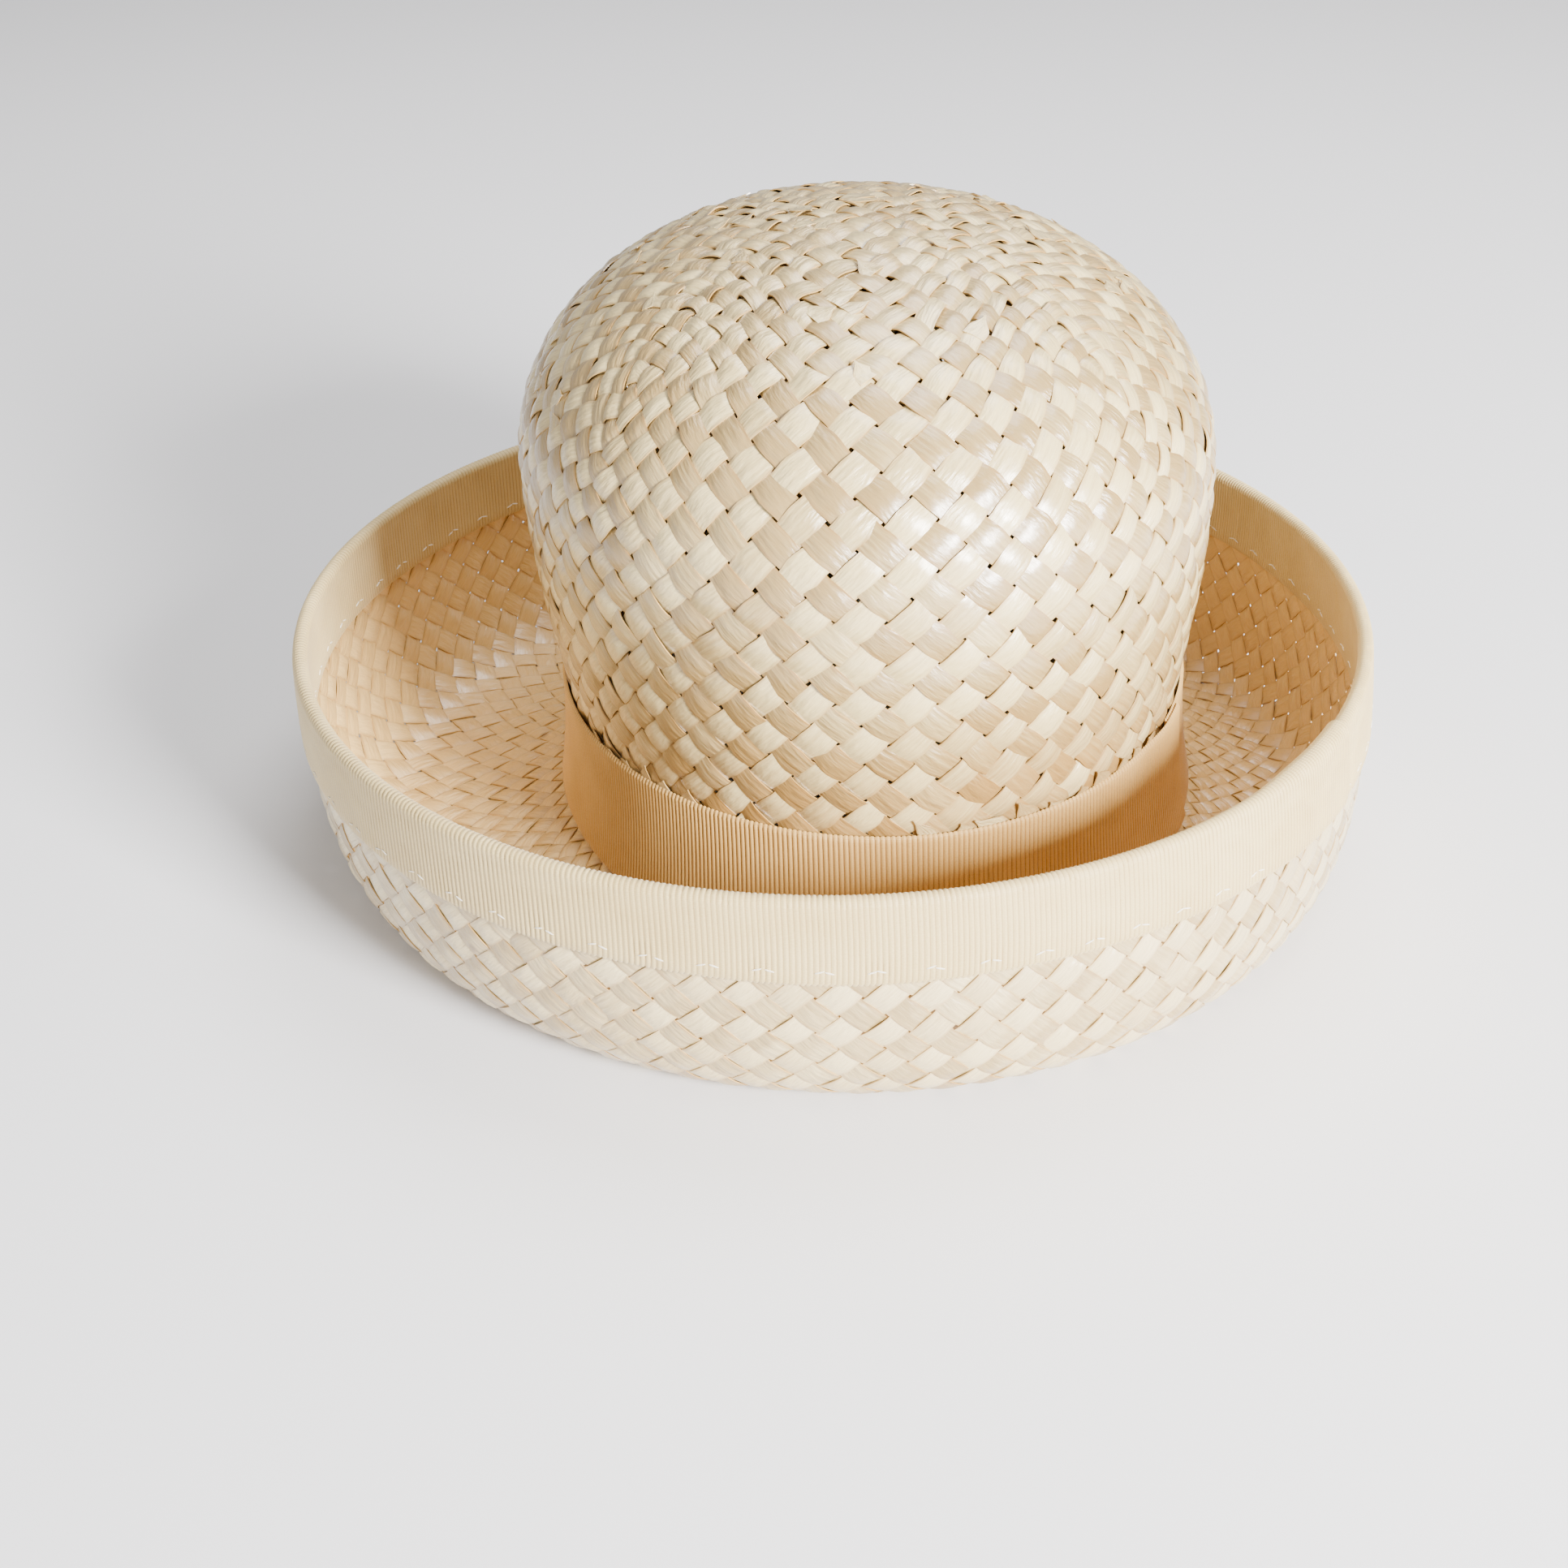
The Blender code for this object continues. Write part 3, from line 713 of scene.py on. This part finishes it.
def add_stitches():
    bpy.ops.object.select_all(action="DESELECT")
    bpy.ops.mesh.primitive_uv_sphere_add(segments=8, ring_count=5, radius=0.5)
    pattern = bpy.context.object
    pattern_points = np.array([v.co for v in pattern.data.vertices]) * (STITCH_THICK, STITCH_THICK, STITCH_LENGTH)
    pattern_faces = [list(face.vertices) for face in pattern.data.polygons]
    bpy.data.objects.remove(pattern)
    points, faces = [], []
    chance = np.random.default_rng(5)
    for side, turn in ((1, 0.0), (-1, np.pi)):
        for pair in range(STITCH_PAIRS):
            for half in (-0.5, 0.5):
                angle = np.array([(pair + half * 0.22 + chance.normal() * 0.03) / STITCH_PAIRS * 2 * np.pi])
                depth = np.array([STITCH_DEPTH + chance.normal() * 0.15 * MM])
                off = np.array([BINDING_OFF + BINDING_THICK + 0.26 * MM])
                place = binding_spot(angle, depth, off, np.array([turn]))[0]
                below = binding_spot(angle, depth + 1 * MM, off, np.array([turn]))[0]
                beside = binding_spot(angle + 0.01, depth, off, np.array([turn]))[0]
                down = Vector(below - place).normalized()
                along = Vector(beside - place).normalized()
                slant = (along * 0.9 + down * half * 0.5).normalized()
                out = slant.cross(down).normalized()
                turned = Matrix((out.cross(slant), out, slant)).transposed()
                faces += [[v + len(points) for v in face] for face in pattern_faces]
                points += [tuple(turned @ Vector(p) + Vector(place)) for p in pattern_points]
    mesh = bpy.data.meshes.new("binding_stitches")
    mesh.from_pydata(points, [], faces)
    mesh.shade_smooth()
    thread = Finish("thread", {"Base Color": (0.87, 0.79, 0.64, 1), "Roughness": 0.6})
    place = thread.node("ShaderNodeTexCoord", {}, {}, 3)
    twist = thread.node("ShaderNodeTexWave", {}, {"Vector": place, "Scale": 900.0, "Distortion": 2.0})
    thread.feed({"Normal": thread.node("ShaderNodeBump", {}, {"Strength": 0.4, "Distance": 0.0001, "Height": twist})})
    mesh.materials.append(thread.material)
    piece = bpy.data.objects.new("binding_stitches", mesh)
    bpy.context.scene.collection.objects.link(piece)
    return piece


stitches = add_stitches()
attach(stitches, "root")


# Floor, light and camera. A plain pale floor, a large soft light like a window's
# from the front right, one above and a weaker one from the left. The camera looks down at the hat's front.
FLOOR_SIZE = 12.0
CAMERA_PLACE = (-0.0134, -0.4945, 0.3156)
CAMERA_PITCH = math.radians(32.407)
CAMERA_ROLL = math.radians(-1.173)
CAMERA_LENS = 46.58

bpy.ops.object.select_all(action="DESELECT")
bpy.ops.mesh.primitive_plane_add(size=FLOOR_SIZE)
floor = bpy.context.object
floor.name = "floor"
floor_finish = Finish("pale_floor", {"Base Color": (0.78, 0.77, 0.78, 1), "Roughness": 0.8})
floor.data.materials.append(floor_finish.material)

for name, place, size, power in (
    ("window_light", (0.95, -1.2, 0.66), 0.5, 145),
    ("fill_light", (-1.1, -0.9, 0.9), 1.4, 7),
    ("top_light", (0.3, 0.5, 1.4), 0.9, 22),
):
    bpy.ops.object.light_add(type="AREA", location=place)
    light = bpy.context.object
    light.name = name
    light.data.size = size
    light.data.energy = power
    light.rotation_euler = (Vector((0, 0, 0.06)) - Vector(place)).to_track_quat("-Z", "Y").to_euler()

world = bpy.data.worlds.new("soft_room")
bpy.context.scene.world = world
world.use_nodes = True
world.node_tree.nodes["Background"].inputs["Color"].default_value = (0.98, 0.98, 1.0, 1)
world.node_tree.nodes["Background"].inputs["Strength"].default_value = 0.48

ahead = Vector((0, math.cos(CAMERA_PITCH), -math.sin(CAMERA_PITCH)))
above = Vector((0, math.sin(CAMERA_PITCH), math.cos(CAMERA_PITCH)))
right = Vector((1, 0, 0)) * math.cos(CAMERA_ROLL) + above * math.sin(CAMERA_ROLL)
above = above * math.cos(CAMERA_ROLL) - Vector((1, 0, 0)) * math.sin(CAMERA_ROLL)
bpy.ops.object.camera_add()
camera = bpy.context.object
camera.data.lens = CAMERA_LENS
camera.data.sensor_width = 36
camera.matrix_world = Matrix.Translation(CAMERA_PLACE) @ Matrix((right, above, -ahead)).transposed().to_4x4()
bpy.context.scene.camera = camera
